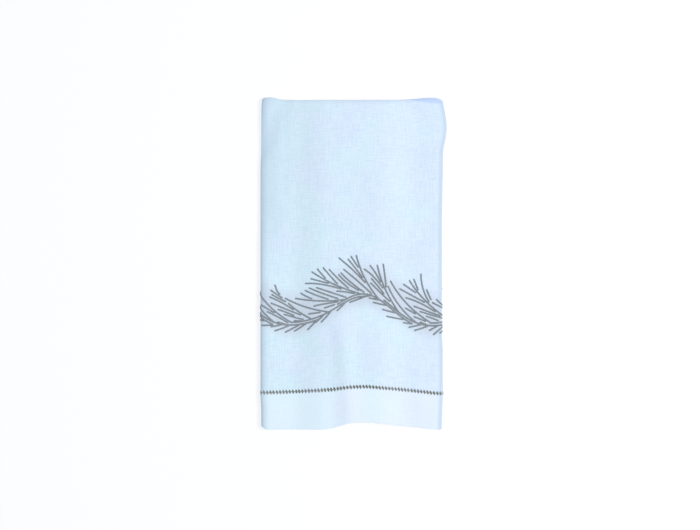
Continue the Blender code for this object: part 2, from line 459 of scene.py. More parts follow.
def smooth_through(places, values, at):
    """The values of a table, joined by a smooth curve that stays between its rows."""
    if places[0] > places[-1]:
        places, values = places[::-1], values[::-1]
    rises = np.diff(values) / np.diff(places)
    before, after = rises[:-1], rises[1:]
    turning = before * after <= 0
    total = np.where(turning, 1.0, before + after)
    slopes = np.zeros(len(places))
    slopes[1:-1] = np.where(turning, 0.0, 2 * before * after / total)
    at = np.clip(at, places[0], places[-1])
    row = np.clip(np.searchsorted(places, at) - 1, 0, len(places) - 2)
    span = places[row + 1] - places[row]
    t = (at - places[row]) / span
    start = values[row] * (1 + 2 * t) * (1 - t) ** 2 + slopes[row] * span * t * (1 - t) ** 2
    end = values[row + 1] * t**2 * (3 - 2 * t) + slopes[row + 1] * span * t**2 * (t - 1)
    return start + end


def from_table(table, columns, key, name, at, unit=MM):
    """One column of a table in millimetres, read at places in metres along its key column."""
    return smooth_through(column(table, columns, key), column(table, columns, name), at / MM) * unit


def place_across(across, back):
    """x of a point of the cloth, and its share of the panel: 0 on a flap, 1 on the panel."""
    left = mix(LEFT_FOLD_FRONT, FOLD_BACK, back)
    right = mix(RIGHT_FOLD_FRONT, FOLD_BACK, back)
    left_turn = np.pi * np.clip((across - FLAP_WIDTH) / LEFT_ARC, 0, 1)
    right_turn = np.pi * np.clip((across - PANEL_END) / RIGHT_ARC, 0, 1)
    left_x = -HALF_WIDTH + left * (1 - np.sin(left_turn)) + np.maximum(FLAP_WIDTH - across, 0)
    panel_x = mix(-HALF_WIDTH + left, HALF_WIDTH - right, (across - PANEL_START) / PANEL_WIDTH)
    past_fold = np.maximum(across - PANEL_END - RIGHT_ARC, 0)
    right_x = HALF_WIDTH - right * (1 - np.sin(right_turn)) - past_fold
    x = np.where(across < PANEL_START, left_x, np.where(across <= PANEL_END, panel_x, right_x))
    share = (1 - np.cos(left_turn)) / 2 * (1 + np.cos(right_turn)) / 2
    return x, share


def creases(x, y):
    """Height of the ridges, troughs and faint waves at a place on the panel."""
    height = np.zeros(np.shape(x))
    for row in CREASES:
        from_x, from_y, to_x, to_y, half_width, rise = (value * MM for value in row)
        run_x, run_y = to_x - from_x, to_y - from_y
        length = math.hypot(run_x, run_y)
        forward = ((x - from_x) * run_x + (y - from_y) * run_y) / length
        aside = ((x - from_x) * run_y - (y - from_y) * run_x) / length
        past_end = np.maximum(np.maximum(-forward, forward - length), 0)
        height += rise * np.exp(-((aside / half_width) ** 2) - (past_end / CREASE_TAPER) ** 2)
    for length, direction, phase, rise in RIPPLES:
        heading = math.radians(direction)
        run = x * math.cos(heading) + y * math.sin(heading)
        height += rise * MM * np.sin(2 * np.pi * run / (length * MM) + phase)
    return height


def layer_heights(across, share, x, y, rest, near_top):
    """Mid-height of the front layer and of the back layer at a point of the cloth.

    rest is the mid-height of the lowest layer. From the bottom, the layers are the back panel, the
    back right flap, the back left flap, the front left flap, the front right flap and the front
    panel, and each sinks by one layer where a flap under it has ended.
    """
    over_right_flap = ease((x - RIGHT_FLAP_EDGE_X + FLAP_FALL) / FLAP_FALL)
    over_left_flap = ease((LEFT_FLAP_EDGE_X + FLAP_FALL - x) / FLAP_FALL)
    on_left = across < FLAT_WIDTH / 2
    back_flap = rest + LAYER_PITCH * np.where(on_left, 1 + over_right_flap, 1)
    front_left_flap = rest + LAYER_PITCH * (1 + over_right_flap + over_left_flap)
    front_left_flap = front_left_flap + TOP_LOFT * near_top
    front_flap = front_left_flap + np.where(on_left, 0, LAYER_PITCH * over_left_flap)
    loft = LEFT_LOFT * ease(1 - (x + HALF_WIDTH) / LEFT_LOFT_WIDTH)
    loft = loft + RIGHT_LOFT * ease(1 - (HALF_WIDTH - x) / RIGHT_LOFT_WIDTH)
    stack = LAYER_PITCH * (over_right_flap + over_left_flap)
    panel = front_left_flap + stack + loft + PANEL_SLACK + creases(x, y)
    return mix(front_flap, panel, share), mix(back_flap, rest, share)


def roll_section(turn, pressed):
    """The top roll's section for a radius of 1: a half circle with part of its front made flat."""
    facet_start = np.pi / 2 * (1 - pressed)
    on_facet = (turn > facet_start) & (turn < FACET_END) & (pressed > 0)
    run = np.clip((turn - facet_start) / np.maximum(FACET_END - facet_start, 1e-6), 0, 1)
    facet_forward = mix(np.sin(facet_start), np.sin(FACET_END), run)
    facet_upward = mix(np.cos(facet_start), np.cos(FACET_END), run)
    forward = np.where(on_facet, facet_forward, np.sin(turn))
    return forward, np.where(on_facet, facet_upward, np.cos(turn))


def corner_pull(x, end):
    """How far the cloth's end is drawn in beside the two corners at that end."""
    pull = np.zeros(np.shape(x))
    for side, at, drawn_in, reach in CORNERS:
        if at == end:
            inside = HALF_WIDTH + x if side == "left" else HALF_WIDTH - x
            pull += drawn_in * MM * np.clip(1 - inside / (reach * MM), 0, 1) ** 2
    return pull


def local_thickness(along):
    """Thickness of the cloth, thicker in the hems and rounded at its two ends."""
    cloth = bpy.context.scene.hand_towel_cloth
    front_hem = 1 - ease((along - FRONT_HEM_DEPTH + HEM_STEP) / HEM_STEP)
    back_hem = 1 - ease((FLAT_LENGTH - BACK_HEM_DEPTH - along) / HEM_STEP)
    from_edge = np.clip(np.minimum(along, FLAT_LENGTH - along) / HEM_ROUND, 0, 1)
    rounding = mix(EDGE_SHARE, 1, np.sqrt(1 - (1 - from_edge) ** 2))
    return mix(cloth.thickness, cloth.hem_thickness, np.maximum(front_hem, back_hem)) * rounding


def folded(across, along):
    """The folded place of points of the flat cloth, on the middle of its thickness."""
    across, along = np.broadcast_arrays(np.asarray(across, float), np.asarray(along, float))
    turn = np.pi * np.clip((along - FRONT_RUN) / ROLL_LENGTH, 0, 1)
    back = (1 - np.cos(turn)) / 2
    x, share = place_across(across, back)

    edge_rise = from_table(HEM_WAVE, HEM_WAVE_COLUMNS, "x", "edge", x) + corner_pull(x, "hem")
    line_rise = from_table(HEM_WAVE, HEM_WAVE_COLUMNS, "x", "stitched_line", x)
    crest_rise = from_table(TOP_FOLD, TOP_FOLD_COLUMNS, "x", "rise", x) - corner_pull(x, "top")
    pressed = from_table(TOP_FOLD, TOP_FOLD_COLUMNS, "x", "pressed", x, unit=1.0)

    past_roll = np.maximum(along - FRONT_RUN - ROLL_LENGTH, 0)
    level = np.minimum(along, FRONT_RUN) - past_roll
    in_hem = np.clip(level / FRONT_HEM_DEPTH, 0, 1)
    above_hem = 1 - ease((level - FRONT_HEM_DEPTH) / WAVE_FADE)
    near_top = ease(1 - (FRONT_RUN - level) / TOP_RISE_FADE)
    from_flap_edge = np.minimum(across, FLAT_WIDTH - across)
    recess = FLAP_RECESS * np.clip(1 - from_flap_edge / FLAP_WIDTH, 0, 1) * (1 - near_top)
    flat_y = FRONT_EDGE_Y + level + mix(edge_rise, line_rise * above_hem, in_hem)
    flat_y = flat_y + near_top * crest_rise + recess

    rest = bpy.context.scene.hand_towel_cloth.hem_thickness / 2
    front, low = layer_heights(across, share, x, flat_y, rest, near_top)
    radius = (front - low) / 2
    panel_front, panel_low = layer_heights(FLAT_WIDTH / 2, 1.0, x, flat_y, rest, near_top)
    panel_radius = (panel_front - panel_low) / 2
    below_crest = (ROLL_RADIUS - panel_radius) * near_top
    forward, upward = roll_section(turn, pressed)
    y = flat_y + below_crest + radius * forward
    z = (front + low) / 2 + radius * upward

    left = from_table(SIDE_EDGES, SIDE_EDGE_COLUMNS, "y", "left", y)
    right = from_table(SIDE_EDGES, SIDE_EDGE_COLUMNS, "y", "right", y)
    x = x + right * ease(x / HALF_WIDTH) - left * ease(-x / HALF_WIDTH)
    return np.stack((x - OUTLINE_MIDDLE_X, y, z), axis=-1)


def on_right_side(across, along, height):
    """Points at a height above the right side of the cloth, which faces out of the fold."""
    step = 0.2 * MM
    run_across = folded(across + step, along) - folded(across - step, along)
    run_along = folded(across, along + step) - folded(across, along - step)
    outward = np.cross(run_across, run_along)
    outward /= np.linalg.norm(outward, axis=-1, keepdims=True)
    rise = local_thickness(along) / 2 + height
    return folded(across, along) + outward * np.expand_dims(rise, -1)


def stations(stretches):
    """Places along a line made of stretches, each a length and the number of cells in it."""
    places = [0.0]
    for length, cells in stretches:
        start = places[-1]
        places += [start + length * (cell + 1) / cells for cell in range(cells)]
    return np.array(places)


def cloth_stations():
    """The places across and along the flat cloth where its cells meet."""
    across = stations(
        (
            (FLAP_WIDTH, FLAP_CELLS),
            (LEFT_ARC, FOLD_CELLS),
            (PANEL_WIDTH, PANEL_CELLS),
            (RIGHT_ARC, FOLD_CELLS),
            (FLAP_WIDTH, FLAP_CELLS),
        )
    )
    stitched = 2 * HEM_STEP
    back_run = FLAT_LENGTH - FRONT_RUN - ROLL_LENGTH - BACK_HEM_DEPTH - HEM_STEP
    along = stations(
        (
            (HEM_ROUND, EDGE_CELLS),
            (FRONT_HEM_DEPTH - HEM_ROUND - stitched, FRONT_HEM_CELLS),
            (stitched, STITCHED_CELLS),
            (stitched, ABOVE_STITCHES_CELLS),
            (FRONT_RUN - FRONT_HEM_DEPTH - stitched, FRONT_CELLS),
            (ROLL_LENGTH, ROLL_CELLS),
            (back_run, BACK_CELLS),
            (HEM_STEP, 1),
            (BACK_HEM_DEPTH - HEM_ROUND, BACK_HEM_CELLS),
            (HEM_ROUND, EDGE_CELLS),
        )
    )
    return across, along


def add_node(tree, kind, inputs=None, **settings):
    """A shader node with its settings, and its inputs set to values or linked to sockets."""
    node = tree.nodes.new(kind)
    for name, value in settings.items():
        setattr(node, name, value)
    for key, value in (inputs or {}).items():
        if isinstance(value, bpy.types.NodeSocket):
            tree.links.new(value, node.inputs[key])
        else:
            node.inputs[key].default_value = value
    return node


def math_node(tree, operation, first, second=0.0, third=0.0):
    inputs = {0: first, 1: second, 2: third}
    return add_node(tree, "ShaderNodeMath", inputs, operation=operation).outputs[0]


def product(tree, first, *others):
    for other in others:
        first = math_node(tree, "MULTIPLY", first, other)
    return first


def map_range(tree, value, low, high):
    """A smooth rise from 0 at the low value to 1 at the high one, or a fall if they are swapped."""
    inputs = {"Value": value, 1: low, 2: high}
    return add_node(tree, "ShaderNodeMapRange", inputs, interpolation_type="SMOOTHSTEP").outputs[0]


def mix_colors(tree, share, first, second):
    """Two colours mixed. Each is a socket, or its red, green and blue."""
    inputs = {0: share}
    for key, color in ((6, first), (7, second)):
        inputs[key] = color if isinstance(color, bpy.types.NodeSocket) else (*color, 1.0)
    return add_node(tree, "ShaderNodeMix", inputs, data_type="RGBA").outputs[2]


def lay_tint(tree, color, name, where):
    """The colour with one tint, painted shade or painted light laid over it, as far as its mask goes.
    """
    tint, most = TINTS_AND_PAINTED_SHADING[name]
    return mix_colors(tree, product(tree, where, most), color, tint)


def noise(tree, vector, sizes, detail=2.0):
    """Noise from 0 to 1 with a size in metres each way: two sizes for flat noise, three for solid."""
    scale = (*(1 / size for size in sizes), 1.0)[:3]
    mapped = add_node(tree, "ShaderNodeMapping", {"Vector": vector, "Scale": scale})
    inputs = {"Vector": mapped.outputs[0], "Scale": 1.0, "Detail": detail}
    dimensions = f"{len(sizes)}D"
    return add_node(tree, "ShaderNodeTexNoise", inputs, noise_dimensions=dimensions).outputs[0]


def add_bump(tree, shader, height, strength, distance):
    inputs = {"Strength": strength, "Distance": distance, "Height": height}
    bump = add_node(tree, "ShaderNodeBump", inputs)
    tree.links.new(bump.outputs[0], shader.inputs["Normal"])


def new_material(name, roughness):
    material = bpy.data.materials.new(name)
    material.use_nodes = True
    shader = material.node_tree.nodes["Principled BSDF"]
    shader.inputs["Roughness"].default_value = roughness
    shader.inputs["Specular IOR Level"].default_value = 0.25
    return material, material.node_tree, shader


def yarn_thickness(tree, flat):
    """The thick and thin places of the yarns both ways, and how clear their colour is there."""
    warp = noise(tree, flat, (0.9 * MM, 10 * MM))
    weft = noise(tree, flat, (9 * MM, 0.9 * MM))
    fine_warp = noise(tree, flat, (0.5 * MM, 6 * MM), 1.0)
    fine_weft = noise(tree, flat, (6 * MM, 0.5 * MM), 1.0)
    fine = math_node(tree, "ADD", fine_warp, fine_weft)
    yarns = math_node(tree, "MULTIPLY_ADD", fine, 0.5, math_node(tree, "ADD", warp, weft))
    slub_warp = map_range(tree, noise(tree, flat, (1.3 * MM, 20 * MM), 1.0), 0.58, 0.70)
    slub_weft = map_range(tree, noise(tree, flat, (20 * MM, 1.3 * MM), 1.0), 0.62, 0.74)
    slubs = product(tree, math_node(tree, "MAXIMUM", slub_warp, slub_weft), 0.5)
    clear = math_node(tree, "SUBTRACT", map_range(tree, yarns, 1.12, 1.72), slubs)
    return yarns, clear


def on_hems(tree, along):
    """A mask of the two hems."""
    front_hem = map_range(tree, along, FRONT_HEM_DEPTH - 0.6 * MM, FRONT_HEM_DEPTH - 1.6 * MM)
    back_hem_start = FLAT_LENGTH - BACK_HEM_DEPTH
    back_hem = map_range(tree, along, back_hem_start - 0.5 * MM, back_hem_start + 0.5 * MM)
    return math_node(tree, "MAXIMUM", front_hem, back_hem)


def mottled(tree, color, flat, across):
    """The colour with patches of mint and lilac, with more lilac to the right."""
    patches = noise(tree, flat, (PATCH_SIZE, PATCH_SIZE), 4.0)
    slope = LILAC_RIGHTWARD / PANEL_WIDTH
    rightward = math_node(tree, "MULTIPLY_ADD", across, slope, -slope * FLAT_WIDTH / 2)
    mottle = map_range(tree, math_node(tree, "ADD", patches, rightward), 0.28, 0.72)
    return mix_colors(tree, MOTTLE_SHARE, color, mix_colors(tree, mottle, MINT, LILAC))


def shade_among_twigs(tree, across, along):
    """A mask of the band in which the twigs grow, which rises and falls with their stem, for painted
    shade.
    """
    round_stem = math_node(tree, "SUBTRACT", across, BORDER_CREST + BORDER_SHIFT)
    wave = math_node(tree, "COSINE", product(tree, round_stem, 2 * math.pi / BORDER_REPEAT))
    stem = math_node(tree, "MULTIPLY_ADD", wave, BORDER_WAVE, BORDER_MIDDLE)
    above_stem = math_node(tree, "SUBTRACT", along, stem)
    lower_edge = map_range(tree, above_stem, -14 * MM, -1 * MM)
    return product(tree, lower_edge, map_range(tree, above_stem, 36 * MM, 16 * MM))


def painted_fold_shading(tree, color, across, along):
    """Colour with painted shade at the left side, side folds and top facet, painted light at the top
    crest.
    """
    # painted shade on the upper left of the panel, beside the rounded left fold
    beside_fold = map_range(tree, across, PANEL_START + 32 * MM, PANEL_START + 4 * MM)
    left_side_shade = product(tree, beside_fold, map_range(tree, along, 120 * MM, 200 * MM))
    color = lay_tint(tree, color, "left_side_shade", left_side_shade)
    # painted light over the top fold's roll
    crest = map_range(tree, along, FRONT_RUN + 0.1 * ROLL_LENGTH, FRONT_RUN + 0.4 * ROLL_LENGTH)
    color = lay_tint(tree, color, "top_crest_light", crest)

    # painted shade along the two side folds of the panel
    off_flaps = math_node(tree, "COMPARE", across, FLAT_WIDTH / 2, PANEL_WIDTH / 2 + 3 * MM)
    left = map_range(tree, across, PANEL_START + 4.5 * MM, PANEL_START - 1 * MM)
    right = map_range(tree, across, PANEL_END - 3.6 * MM, PANEL_END + 0.8 * MM)
    color = lay_tint(tree, color, "left_fold_shade", product(tree, left, off_flaps))
    color = lay_tint(tree, color, "right_fold_shade", product(tree, right, off_flaps))

    # painted shade on the flat facet of the top fold at the right
    facet = map_range(tree, across, PANEL_START + 112 * MM, PANEL_START + 142 * MM)
    drop = -ROLL_LENGTH / 2 - 1.4 * MM
    edge = math_node(tree, "MULTIPLY_ADD", facet, drop, FRONT_RUN + ROLL_LENGTH / 2)
    past_edge = math_node(tree, "SUBTRACT", along, edge)
    on_facet = product(
        tree,
        map_range(tree, past_edge, -0.4 * MM, 0.4 * MM),
        map_range(tree, along, FRONT_RUN + 0.8 * ROLL_LENGTH, FRONT_RUN + 0.6 * ROLL_LENGTH),
        off_flaps,
        map_range(tree, facet, 0.0, 0.1),
    )
    return lay_tint(tree, color, "top_facet_shade", on_facet)


def weave_relief(tree, cloth, across, along, yarns):
    """Height of the yarns over and under each other, puckered beside the hemstitching."""
    turn = math.pi / cloth.yarn_pitch
    over = math_node(tree, "SINE", product(tree, across, turn))
    under = math_node(tree, "SINE", product(tree, along, turn))
    relief = math_node(tree, "MULTIPLY_ADD", product(tree, over, under), 0.35, yarns)

    pitch = bpy.context.scene.hand_towel_thread.stitch_pitch
    puckers = math_node(tree, "COSINE", product(tree, across, 2 * math.pi / pitch))
    from_stitches = math_node(tree, "ABSOLUTE", math_node(tree, "SUBTRACT", along, FRONT_HEM_DEPTH))
    depth = product(tree, map_range(tree, from_stitches, 5 * MM, 1 * MM), -1.2)
    return math_node(tree, "MULTIPLY_ADD", puckers, depth, relief)


def linen(cloth):
    """Plain-woven linen: yarns over and under, thick and thin places in them, lighter hems, painted
    light and shade.
    """
    material, tree, shader = new_material("linen", 0.82)
    shader.inputs["Sheen Weight"].default_value = 0.12
    shader.inputs["Sheen Roughness"].default_value = 0.5
    flat = add_node(tree, "ShaderNodeUVMap", uv_map="flat_cloth").outputs[0]
    place = add_node(tree, "ShaderNodeSeparateXYZ", {0: flat})
    across, along = place.outputs[0], place.outputs[1]

    yarns, clear = yarn_thickness(tree, flat)
    color = mix_colors(tree, clear, cloth.shade, cloth.color)
    color = lay_tint(tree, color, "hem", on_hems(tree, along))
    color = mottled(tree, color, flat, across)
    # painted shade on the cloth among the twigs
    color = lay_tint(tree, color, "shade_among_twigs", shade_among_twigs(tree, across, along))
    color = painted_fold_shading(tree, color, across, along)
    tree.links.new(color, shader.inputs["Base Color"])
    add_bump(tree, shader, weave_relief(tree, cloth, across, along, yarns), 0.55, 0.12 * MM)
    return material


def thread(name, color, stitch, dull_share):
    """Twisted cotton thread in short stitches along a line, lighter and duller in places."""
    material, tree, shader = new_material(name, 0.6)
    shader.inputs["Sheen Weight"].default_value = 0.1
    line = add_node(tree, "ShaderNodeUVMap", uv_map="along_thread").outputs[0]
    place = add_node(tree, "ShaderNodeSeparateXYZ", {0: line})
    aside = STITCH_SLANT * stitch
    slant = math_node(tree, "MULTIPLY_ADD", place.outputs[1], aside, place.outputs[0])
    twist = math_node(tree, "SINE", product(tree, slant, 2 * math.pi / stitch))
    groove = map_range(tree, twist, 0.55, 1.0)

    spot = add_node(tree, "ShaderNodeTexCoord").outputs["Object"]
    near = noise(tree, spot, (2.2 * MM, 2.2 * MM, 2.2 * MM))
    wide = map_range(tree, noise(tree, spot, (26 * MM, 26 * MM, 26 * MM)), 0.40, 0.62)
    light = [min(1.0, value * THREAD_LIGHT) for value in color]
    dull = [value * share for value, share in zip(color, THREAD_DULL)]
    # painted shade: the thread's colour darkened in the grooves between its stitches
    shadow = [value * THREAD_GROOVE_SHADE for value in color]
    body = mix_colors(tree, near, color, light)
    body = mix_colors(tree, product(tree, wide, dull_share), body, dull)
    body = mix_colors(tree, product(tree, groove, GROOVE_SHADE_SHARE), body, shadow)
    tree.links.new(body, shader.inputs["Base Color"])
    add_bump(tree, shader, twist, 0.5, 0.1 * MM)
    return material


def make_cloth():
    """A flat grid of cells folded into the towel, then given the cloth's thickness."""
    cloth = bpy.context.scene.hand_towel_cloth
    across, along = cloth_stations()
    columns, rows = len(across) - 1, len(along) - 1
    bpy.ops.object.select_all(action="DESELECT")
    bpy.ops.mesh.primitive_grid_add(x_subdivisions=columns, y_subdivisions=rows, size=2)
    towel = bpy.context.object
    towel.name = towel.data.name = "folded_towel"

    flat = np.array([vertex.co[:] for vertex in towel.data.vertices])
    across = across[np.rint((flat[:, 0] + 1) / 2 * columns).astype(int)]
    along = along[np.rint((flat[:, 1] + 1) / 2 * rows).astype(int)]
    towel.data.vertices.foreach_set("co", folded(across, along).ravel())

    corners = np.zeros(len(towel.data.loops), int)
    towel.data.loops.foreach_get("vertex_index", corners)
    flat_cloth = towel.data.uv_layers[0]
    flat_cloth.name = "flat_cloth"
    flat_cloth.uv.foreach_set("vector", np.column_stack((across, along))[corners].ravel())

    thickness = towel.vertex_groups.new(name="thickness")
    for index, value in enumerate(local_thickness(along) / cloth.hem_thickness):
        thickness.add([index], float(value), "REPLACE")
    solidify = towel.modifiers.new("thickness", "SOLIDIFY")
    solidify.thickness = cloth.hem_thickness
    solidify.offset = 0.0
    solidify.vertex_group = thickness.name
    bpy.ops.object.modifier_apply(modifier=solidify.name)
    towel.vertex_groups.clear()
    bpy.ops.object.shade_smooth_by_angle(angle=math.radians(50))
    towel.data.materials.append(linen(cloth))
    return towel


def make_tubes(name, lines, radius, sides_more):
    """One mesh of closed round tubes. Each line is its points and their shares of the radius."""
    curve = bpy.data.curves.new(name, "CURVE")
    curve.dimensions = "3D"
    curve.bevel_depth = radius
    curve.bevel_resolution = sides_more
    for points, shares in lines:
        spline = curve.splines.new("POLY")
        spline.points.add(len(points) - 1)
        spline.points.foreach_set("co", np.column_stack((points, np.ones(len(points)))).ravel())
        spline.points.foreach_set("radius", np.asarray(shares, float))
    piece = bpy.data.objects.new(name, curve)
    bpy.context.scene.collection.objects.link(piece)
    bpy.ops.object.select_all(action="DESELECT")
    piece.select_set(True)
    bpy.context.view_layer.objects.active = piece
    bpy.ops.object.convert(target="MESH")

    sides = 4 + 2 * sides_more
    along_thread = piece.data.uv_layers[0]
    along_thread.name = "along_thread"
    places = np.zeros(2 * len(piece.data.loops))
    along_thread.uv.foreach_get("vector", places)
    places = places.reshape(-1, 2)
    start = 0
    for points, _ in lines:
        end = start + 4 * sides * (len(points) - 1)
        steps = np.linalg.norm(np.diff(points, axis=0), axis=1)
        lengths = np.concatenate(((0.0,), np.cumsum(steps)))
        rings = places[start:end, 0] * (len(points) - 1)
        places[start:end, 0] = np.interp(rings, np.arange(len(points)), lengths)
        start = end
    along_thread.uv.foreach_set("vector", places.ravel())

    bpy.ops.object.mode_set(mode="EDIT")
    bpy.ops.mesh.select_all(action="SELECT")
    bpy.ops.mesh.remove_doubles(threshold=0.001 * MM)
    bpy.ops.mesh.normals_make_consistent(inside=False)
    bpy.ops.object.mode_set(mode="OBJECT")
    bpy.ops.object.shade_smooth()
    return piece


def hemstitch_lines(thread_settings):
    """Leaning bundles of three strands, one to a stitch, and the thread that runs through them."""
    rng = random.Random(11)
    pitch, half = thread_settings.stitch_pitch, thread_settings.stitch_length / 2
    lines = []
    for stitch in range(int(FLAT_WIDTH / pitch)):
        middle = (stitch + 0.5) * pitch + rng.uniform(-0.12, 0.12) * MM
        lean = math.tan(math.radians(STITCH_LEAN + rng.uniform(-4, 4)))
        for beside, reach in STRANDS:
            reach *= half * rng.uniform(0.92, 1.08)
            t = np.linspace(-1, 1, 7)
            swell = np.sqrt(np.clip(1 - t**2, 0, 1))
            up = t * reach
            across = middle + beside * MM * (1 - 0.5 * t**2) - up * lean
            points = on_right_side(across, FRONT_HEM_DEPTH + up, STRAND_RISE * swell - THREAD_SINK)
            lines.append((points, np.where(swell > 0, 0.3 + 0.7 * swell, 0)))
    across = np.arange(1 * MM, FLAT_WIDTH - 1 * MM, pitch / 3)
    sway = 0.12 * MM * np.sin(2 * np.pi * across / pitch)
    shares = np.full(len(across), 0.8)
    shares[[0, -1]] = 0
    lines.append((on_right_side(across, FRONT_HEM_DEPTH + sway, -RUNNING_THREAD_SINK), shares))
    return lines


def stem_height(across):
    turn = 2 * np.pi * (across - BORDER_CREST) / BORDER_REPEAT
    return BORDER_MIDDLE + BORDER_WAVE * np.cos(turn) + BORDER_RIPPLE * np.sin(2 * turn + 1.1)


def grow(root, heading, length, turn):
    """Points of a line from its root, with its heading and its turn by the tip in degrees."""
    count = max(3, round(length / LINE_STEP))
    headings = np.radians(heading + turn * (np.arange(count) + 1) / count)
    steps = np.column_stack((np.cos(headings), np.sin(headings))) * (length / count)
    return np.vstack((root, root + np.cumsum(steps, axis=0)))


def heading_at(points, index):
    run = points[min(index + 1, len(points) - 1)] - points[max(index - 1, 0)]
    return math.degrees(math.atan2(run[1], run[0])) % 360


def beside_axis(axis, point):
    """How far along and aside a point is by the axis of a bough, and the heading there."""
    index = int(np.argmin(np.hypot(axis[:, 0] - point[0], axis[:, 1] - point[1])))
    heading = math.radians(heading_at(axis, index))
    run_x, run_y = point[0] - axis[index, 0], point[1] - axis[index, 1]
    along = index * LINE_STEP + run_x * math.cos(heading) + run_y * math.sin(heading)
    return along, run_y * math.cos(heading) - run_x * math.sin(heading), math.degrees(heading)


class Border:
    """The lines of the border on the flat cloth, and which of them pass through each small square."""

    def __init__(self, seed):
        self.rng = random.Random(seed)
        self.lines = []
        self.squares = {}

    def square(self, point):
        return int(point[0] // LINE_CLEARANCE), int(point[1] // LINE_CLEARANCE)

    def keep(self, points):
        for point in points:
            self.squares.setdefault(self.square(point), []).append((point, len(self.lines)))
        self.lines.append(points)
        return len(self.lines) - 1

    def gap(self, point, parents=()):
        """Distance to the nearest other line, up to the clearance that lines keep."""
        column_at, row_at = self.square(point)
        nearest = LINE_CLEARANCE
        for beside in (-1, 0, 1):
            for above in (-1, 0, 1):
                for other, owner in self.squares.get((column_at + beside, row_at + above), ()):
                    if owner not in parents:
                        nearest = min(nearest, math.dist(point, other))
        return nearest

    def add(self, points, parents, shortest, settles):
        """Keeps the line as far as it stays clear of the others, or drops it if that is short."""
        end = round(settles / LINE_STEP)
        while end < len(points) and self.gap(points[end], parents) >= LINE_CLEARANCE:
            end += 1
        return self.keep(points[:end]) if end * LINE_STEP >= shortest else None

    def add_stem(self):
        """The stem, in long branches that each start under the end of the one before."""
        pitch = BORDER_REPEAT / STEM_BRANCHES
        self.branches = []
        for branch in range(BORDER_REPEATS * STEM_BRANCHES + 2):
            start = FLAT_WIDTH + 0.6 * pitch - branch * pitch
            across = np.arange(start, start - pitch - STEM_OVERLAP, -LINE_STEP)
            shift = np.linspace(-STEM_SHIFT, STEM_SHIFT, len(across))
            points = np.column_stack((across, stem_height(across) + shift))
            points = points[(across > SIDE_MARGIN) & (across < FLAT_WIDTH - SIDE_MARGIN)]
            if len(points) > 8:
                self.branches.append(self.keep(points))

    def root_on_stem(self, across, side):
        """The point of the stem there, on its upper branch for side 1 and its lower for -1."""
        found = []
        for branch in self.branches:
            points = self.lines[branch]
            index = int(np.argmin(abs(points[:, 0] - across)))
            if abs(points[index, 0] - across) < LINE_STEP:
                found.append((side * points[index, 1], branch, index))
        return max(found)[1:] if found else None

    def add_boughs(self):
        self.boughs = []
        for repeat in range(BORDER_REPEATS):
            for place, angle, length, turn, below, above in BOUGHS:
                across = FLAT_WIDTH - (repeat + place) * BORDER_REPEAT
                across += self.rng.uniform(-2, 2) * MM
                length = length * self.rng.uniform(0.85, 1.12) * MM
                turn = turn + self.rng.uniform(-6, 6)
                off = angle + self.rng.uniform(-3, 3)
                root = self.root_on_stem(across, 1)
                if root is None:
                    continue
                stem = self.lines[root[0]]
                axis = grow(stem[root[1]], heading_at(stem, root[1]) - off, length, turn)
                if self.add(axis, self.branches, SHORTEST_BOUGH, BOUGH_SETTLES) is not None:
                    self.boughs.append((axis, length, below * MM, above * MM))

    def stream(self, axis, start, limit, direction, lean, curl):
        """A twig's points from its start, out to its tip (direction 1) or back to its root (-1)."""
        points, point, joined = [], start, False
        for step in range(90):
            along, aside, heading = beside_axis(axis, point)
            spread = min(SPREAD_WIDEST, SPREAD_BESIDE + SPREAD_PER_MM * abs(aside) / MM)
            heading += math.copysign(spread, aside) + lean + direction * step * curl
            heading = math.radians(heading)
            point = point + direction * LINE_STEP * np.array((math.cos(heading), math.sin(heading)))
            gap = self.gap(point)
            if direction > 0 and (gap < LINE_CLEARANCE or along > limit):
                break
            points.append(point)
            joined = direction < 0 and gap < JOINING_DISTANCE
            if joined or (direction < 0 and along < -2 * MM):
                break
        return points, joined

    def add_twigs(self, shortest):
        """Twigs that start in the free room beside the boughs and run back until they join a line."""
        rng = self.rng
        for axis, length, below, above in self.boughs:
            along, aside = rng.uniform(0.1, 1.1) * length, rng.uniform(-above, below)
            index = min(round(along / LINE_STEP), len(axis) - 1)
            heading = math.radians(heading_at(axis, index))
            start = axis[index] + aside * np.array((-math.sin(heading), math.cos(heading)))
            if start[1] < stem_height(start[0]) + 1.5 * MM:
                continue
            room = below if aside > 0 else above
            limit = length * (1 - 0.45 * (aside / room) ** 2) + rng.uniform(-3, 3) * MM
            if along > limit - 1 * MM or self.gap(start) < LINE_CLEARANCE:
                continue
            lean, curl = rng.uniform(-3, 3), rng.uniform(-0.2, 0.7)
            tip, _ = self.stream(axis, start, limit, 1, lean, curl)
            root, joined = self.stream(axis, start, limit, -1, lean, curl)
            points = np.array(root[::-1] + [start] + tip)
            if joined and len(points) * LINE_STEP > shortest:
                self.keep(points)

    def add_sprigs(self):
        rng = self.rng
        for side, apart, shortest, longest, angle in SPRIGS:
            across = FLAT_WIDTH - 3 * MM
            while across > 3 * MM:
                root = self.root_on_stem(across, side)
                if root is not None:
                    stem = self.lines[root[0]]
                    heading = heading_at(stem, root[1]) - side * rng.uniform(angle - 3, angle + 8)
                    reach, turn = rng.uniform(shortest, longest) * MM, side * rng.uniform(0, 10)
                    points = grow(stem[root[1]], heading, reach, turn)
                    self.add(points, self.branches, SHORTEST_SPRIG, SPRIG_SETTLES)
                across -= rng.uniform(0.75, 1.25) * apart * MM


